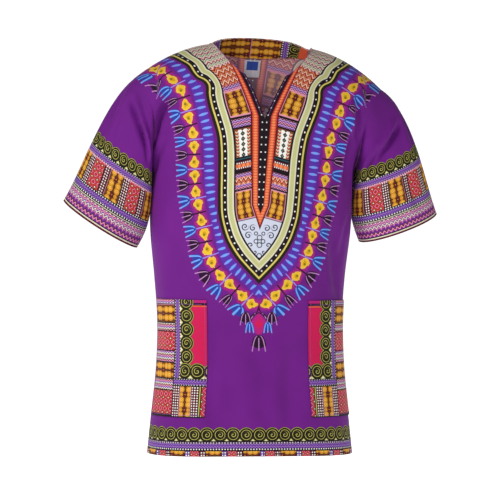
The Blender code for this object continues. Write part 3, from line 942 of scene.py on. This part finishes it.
def sleeve_rings(sleeve):
    """Rings at +X from the armhole down to the cuff, each from the underarm round by the front, and how far each
    point is up from the cuff and round from the top."""
    first = TORSO_STEPS
    loop = np.concatenate([front_half[first:, -1], back_half[first:, -1][-2:0:-1]])
    loop[0, 1] = loop[UPPER_STEPS, 1] = 0.0
    turn = math.pi * np.arange(len(loop)) / UPPER_STEPS
    outer, inner = np.array(sleeve["outer"]), np.array(sleeve["inner"])
    middle, half = (outer + inner) / 2, (outer - inner) / 2
    axis = np.array((half[1], -half[0])) / np.linalg.norm(half)
    top = ((1 - np.cos(turn)) / 2)[:, None]
    depth = (CUFF_HALF_DEPTH * np.sin(turn))[:, None]
    seen = middle - half * np.cos(turn)[:, None] + axis * depth * math.sin(CUFF_TILT)
    end = np.column_stack([seen[:, 0], -depth * math.cos(CUFF_TILT), seen[:, 1]])
    heading = np.array(sleeve["top"]) * top + SLEEVE_UNDER_HEADING * (1 - top)
    heading = unit(np.column_stack([heading[:, 0], SLEEVE_INWARD * np.sin(turn), heading[:, 1]]))
    leave = loop + heading * (SLEEVE_TOP_REACH * top + SLEEVE_UNDER_REACH * (1 - top))
    arrive = end - np.array((axis[0], 0.0, axis[1])) * CUFF_REACH
    t = np.linspace(0.0, 1.0, SLEEVE_STEPS + 1)[:, None, None]
    rings = loop * (1 - t) ** 3 + leave * 3 * t * (1 - t) ** 2 + arrive * 3 * t**2 * (1 - t) + end * t**3
    rings = np.concatenate([rings, rings[:, :1]], axis=1)
    rings[..., 0] -= SEAM_LAP
    up = measured(rings[::-1])[::-1]
    cuff_round = measured(rings[-1])
    cuff_round = cuff_round - cuff_round[UPPER_STEPS]
    return rings, stacked(np.broadcast_to(cuff_round, up.shape), up)


def cuff(u, v):
    """The border round the cuff: scrolls over dotted strips, a row of panels and zigzags."""
    base = scroll_band(ground(u, v), u, v - 114.0, 20.6)
    place = u.math("WRAP", 83.0, 0.0)
    panels = stepped(chain(place - 67.0, v - 75.0), place, (
        (53.0, JET), (51.4, beads(u, v)), (40.6, JET), (39.0, lattice(place - 26.5, v - 75.0)),
        (14.0, JET), (12.4, beads(u, v)), (1.6, JET),
    ))
    pale = zigzags(u, v, 8.0, 2.5, (PINK, PLUM, CREAM, IRIS), 1.3)
    warm = zigzags(u, v, 8.0, 2.5, (PLUM, PINK, MAROON, IRIS), 1.3)
    return stepped(base, v, (
        (114.4, BLACK), (112.6, dotted(u, v, 107.0)), (101.6, PINK), (99.6, panels), (52.0, BLACK),
        (50.4, dotted(u, v, 44.0)), (37.2, BLACK), (35.6, CREAM), (34.4, BLACK), (33.0, pale), (20.0, warm),
        (7.4, BLACK), (5.4, CREAM), (3.4, MAROON),
    ))


def rows_up(flat, height):
    """How many rows up from the cuff each column is at a height, in mm."""
    return np.array([np.interp(height / MM, up, np.arange(len(up))) for up in flat[::-1, :, 1].T])


SLEEVE_CREASES = {
    "right": (
        ((-56, 226), (-160, 160), 7.0, 5.8), ((-116, 206), (-166, 140), 6.0, 3.6), ((-20, 236), (-30, 110), 11.0, 2.4),
        ((-84, 130), (-64, 16), 10.0, 2.0), ((60, 240), (150, 150), 9.0, 3.6), ((30, 130), (60, 20), 10.0, 2.0),
    ),
    "left": (
        ((-40, 192), (-140, 128), 7.0, 5.8), ((-104, 172), (-172, 112), 7.0, 4.0), ((-14, 220), (-24, 110), 11.0, 2.4),
        ((-70, 110), (-50, 14), 10.0, 2.0), ((60, 220), (140, 140), 9.0, 3.6), ((30, 130), (60, 20), 10.0, 2.0),
    ),
}
sleeve_prints = both_sides("sleeve", (cuff, ground))
for sleeve in SLEEVES:
    rings, sleeve_map = sleeve_rings(sleeve)
    rings = leaning(rings * (sleeve["side"], 1, 1))
    if sleeve["side"] > 0:
        rings, sleeve_map = rings[:, ::-1], sleeve_map[:, ::-1]
    rings = creased(rings, sleeve_map, SLEEVE_CREASES[sleeve["name"]])
    cuff_zone = np.where(least(sleeve_map[..., 1]) * MM < CUFF_BORDER, 0, 1)
    piece = sew(f"sleeve_{sleeve['name']}_shell", rings, sleeve_map, sleeve_prints, zones=cuff_zone)
    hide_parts(f"sleeve_{sleeve['name']}")
    round_cuff = np.arange(HALF, rings.shape[1] - 1.4, HALF)
    cuff_row = SLEEVE_STEPS - np.interp(round_cuff, np.arange(rings.shape[1]), rows_up(sleeve_map, CUFF_HEM))
    sewn = [stitch(f"cuff_stitches_{sleeve['name']}", rings, cuff_row, round_cuff)]
    cut_from(piece, sleeve_map)

# Pockets: patch pockets cut from the border print, laid on the lower front close to the side seams and stitched down
# along the inner side and the foot. The mouth is open at the top.
POCKET_TOP, POCKET_BOTTOM = -0.455, -0.661
POCKET_COLUMNS = (5.0, 13.0)
POCKET_ROWS = 44
POCKET_STEPS = 40
POCKET_EDGE = {"side": 1.0, "foot": 0.8, "mouth": 1.6}
pocket_heights = np.linspace(POCKET_BOTTOM, POCKET_TOP, POCKET_ROWS + 1)
pocket_columns = np.linspace(*POCKET_COLUMNS, POCKET_STEPS + 1)
beside_pocket = np.linspace(0.0, POCKET_COLUMNS[0], POCKET_STEPS)[:-1]
across_front = np.concatenate([beside_pocket, pocket_columns])
pocket_half, pocket_place = (
    grid[:, len(beside_pocket) :] for grid in torso_rows(pocket_heights, across_front, FRONT_DEPTH, -1)
)
pocket_half[..., 1] += SEAM_LAP / 2
pocket_flat = pocket_place - pocket_place[:, :1] * (1, 0)


def pocket(u, v):
    """The border print as the pockets are cut from it: a plain rose corner in scrolls, with panels beside it and
    under it."""
    side = abs(u)
    rose = layers(ROSE, ((ORANGE, v.beyond(263.0)), (STEM, v.beyond(265.6)), (MAGENTA, v.beyond(270.0))))
    base = scroll_band(rose, v - 152.0, 50.0 - side, 23.8)
    base = scroll_band(base, side - 16.0, v - 138.0, 24.0)
    base = over(base, dotted(v, side, 55.8), side.beyond(50.0))
    lower = stepped(beads(side, v), side, (
        (49.5, JET), (48.0, PINK), (47.0, chain(side - 36.7, v - 96.0)), (26.0, PINK), (25.0, JET),
        (23.5, beads(side, v)), (12.0, JET), (10.5, LIME), (9.0, JET), (7.0, lattice(side, v)),
    ))
    base = stepped(base, v, ((138.0, BLACK), (136.4, dotted(side, v, 131.0)), (125.6, JET), (123.6, lower)))
    links = chain((v - 150.5).repeats(99.5), side - 77.0)
    stripes = zigzags(side, v, 6.0, 2.2, (PINK, MAROON, CREAM, VIOLET))
    flowers = lattice(side - 1.0, v - 96.0)
    column = stepped(stripes, v, (
        (268.0, BLACK), (266.0, links), (235.0, BLACK), (233.0, stripes), (220.0, BLACK), (218.0, flowers),
        (186.0, BLACK), (184.0, stripes), (166.0, BLACK), (164.0, links), (137.0, BLACK), (135.0, stripes),
        (117.0, BLACK), (115.0, flowers), (74.0, BLACK),
    ))
    return layers(base, ((BLACK, side.beyond(61.4)), (column, side.beyond(63.4)), (JET, v.under(71.0))))


pocket_prints = both_sides("pocket", (pocket,))
for side, name in SIDES:
    laid = leaning(folded(pocket_half * (side, 1, 1), FRONT_FOLDS))
    laid_map, laid_place = pocket_flat * (side, 1), pocket_place * (side, 1)
    if side < 0:
        laid, laid_map, laid_place = laid[:, ::-1], laid_map[:, ::-1], laid_place[:, ::-1]
    laid = creased(laid, laid_place, FRONT_CREASES, held=False)
    laid = laid + normals(laid) * LAID
    piece = sew(f"patch_pocket_{name}", laid, laid_map, pocket_prints)
    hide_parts(f"pocket_{name}")
    inner_side = POCKET_STEPS - POCKET_EDGE["side"] if side < 0 else POCKET_EDGE["side"]
    along = np.arange(POCKET_ROWS - POCKET_EDGE["side"], POCKET_EDGE["foot"], -HALF)
    across = np.arange(POCKET_EDGE["side"], POCKET_STEPS - POCKET_EDGE["foot"], HALF)
    sewn = [
        stitch(f"pocket_side_stitches_{name}", laid, along, inner_side),
        stitch(f"pocket_foot_stitches_{name}", laid, POCKET_EDGE["foot"], across),
        stitch(f"pocket_mouth_stitches_{name}", laid, POCKET_ROWS - POCKET_EDGE["mouth"], across),
    ]
    cut_from(piece, laid_map)

# Back neck facing: a strip of the border print, sewn along the neck's edge and laid inside the back, with its right
# side towards the neck, so that it shows over the front.
FACING_SHARE = 0.765
FACING_ROWS = 12
FACING_STEPS = 30
FACING_CLOTH = 0.001
facing_columns = np.linspace(0.0, NECK_COLUMNS, FACING_STEPS + 1)
facing_shares = np.linspace(FACING_SHARE, 1.0, FACING_ROWS + 1)


def inside_back(shares, columns):
    """What lies inside the back panel at these shares and columns, as points and flat coordinates."""
    half, half_flat = upper_rows(shares, columns, NECK_BACK, BACK_DEPTH, 1)
    half[..., 1] -= SEAM_LAP / 2
    points = leaning(folded(both_halves(half, (-1, 1, 1)), BACK_FOLDS))[:, ::-1]
    return points - normals(points) * LAID, both_halves(half_flat, (-1, 1))[:, ::-1]


facing_points, facing_map = inside_back(facing_shares, facing_columns)


def facing_strip(u, v):
    """The border print as the facing is cut from it, across the neck."""
    links = chain((v - 8.0).repeats(30.0), u)
    strip = dotted(v, u.repeats(130.0, 57.0), 0.0)
    scrolls = scroll_band(BLACK, v, u - 62.0, 22.0)
    return stepped(ORANGE, u, (
        (82.0, scrolls), (65.0, BLACK), (63.5, strip), (50.0, BLACK), (48.5, links), (-6.0, PINK), (-7.0, MAROON),
        (-9.0, links), (-65.0, BLACK), (-66.5, strip), (-80.0, BLACK), (-81.5, ORANGE),
    ))


# The facing's print is painted 1.4 times brighter: painted light, for the facing where it lies in the shade of the
# neck.
facing_prints = both_sides("facing", (facing_strip,), painted_light=1.4)[::-1]
facing = sew("neck_facing", facing_points, facing_map, facing_prints, wall=FACING_CLOTH)
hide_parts("back_neck_facing")
cut_from(facing, facing_map)

# Neck label: a plain woven tape with a blue block and no words. It hangs inside the back, and its top edge is sewn in
# under the facing.
LABEL_HALF_COLUMNS = 0.62
LABEL_SHARES = (0.585, 0.745)
LABEL_STEPS = 8
label_points, label_map = inside_back(
    np.linspace(*LABEL_SHARES, LABEL_STEPS + 1), np.linspace(0.0, LABEL_HALF_COLUMNS, LABEL_STEPS + 1)
)


def label_tape(u, v):
    """White tape with a plain blue block woven into its upper part, and no words or mark."""
    low, high = label_map[[0, -1], LABEL_STEPS, 1] * MM
    block = abs(u).under(10.6) * v.within(low + (high - low) * 0.42, high - 2.0)
    return over(ink(240, 240, 246), ink(62, 96, 190), block)


label = sew("woven_tape_label", label_points, label_map, [dye("label_tape", label_tape)], wall=FACING_CLOTH)
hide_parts("neck_label")
cut_from(label, label_map)
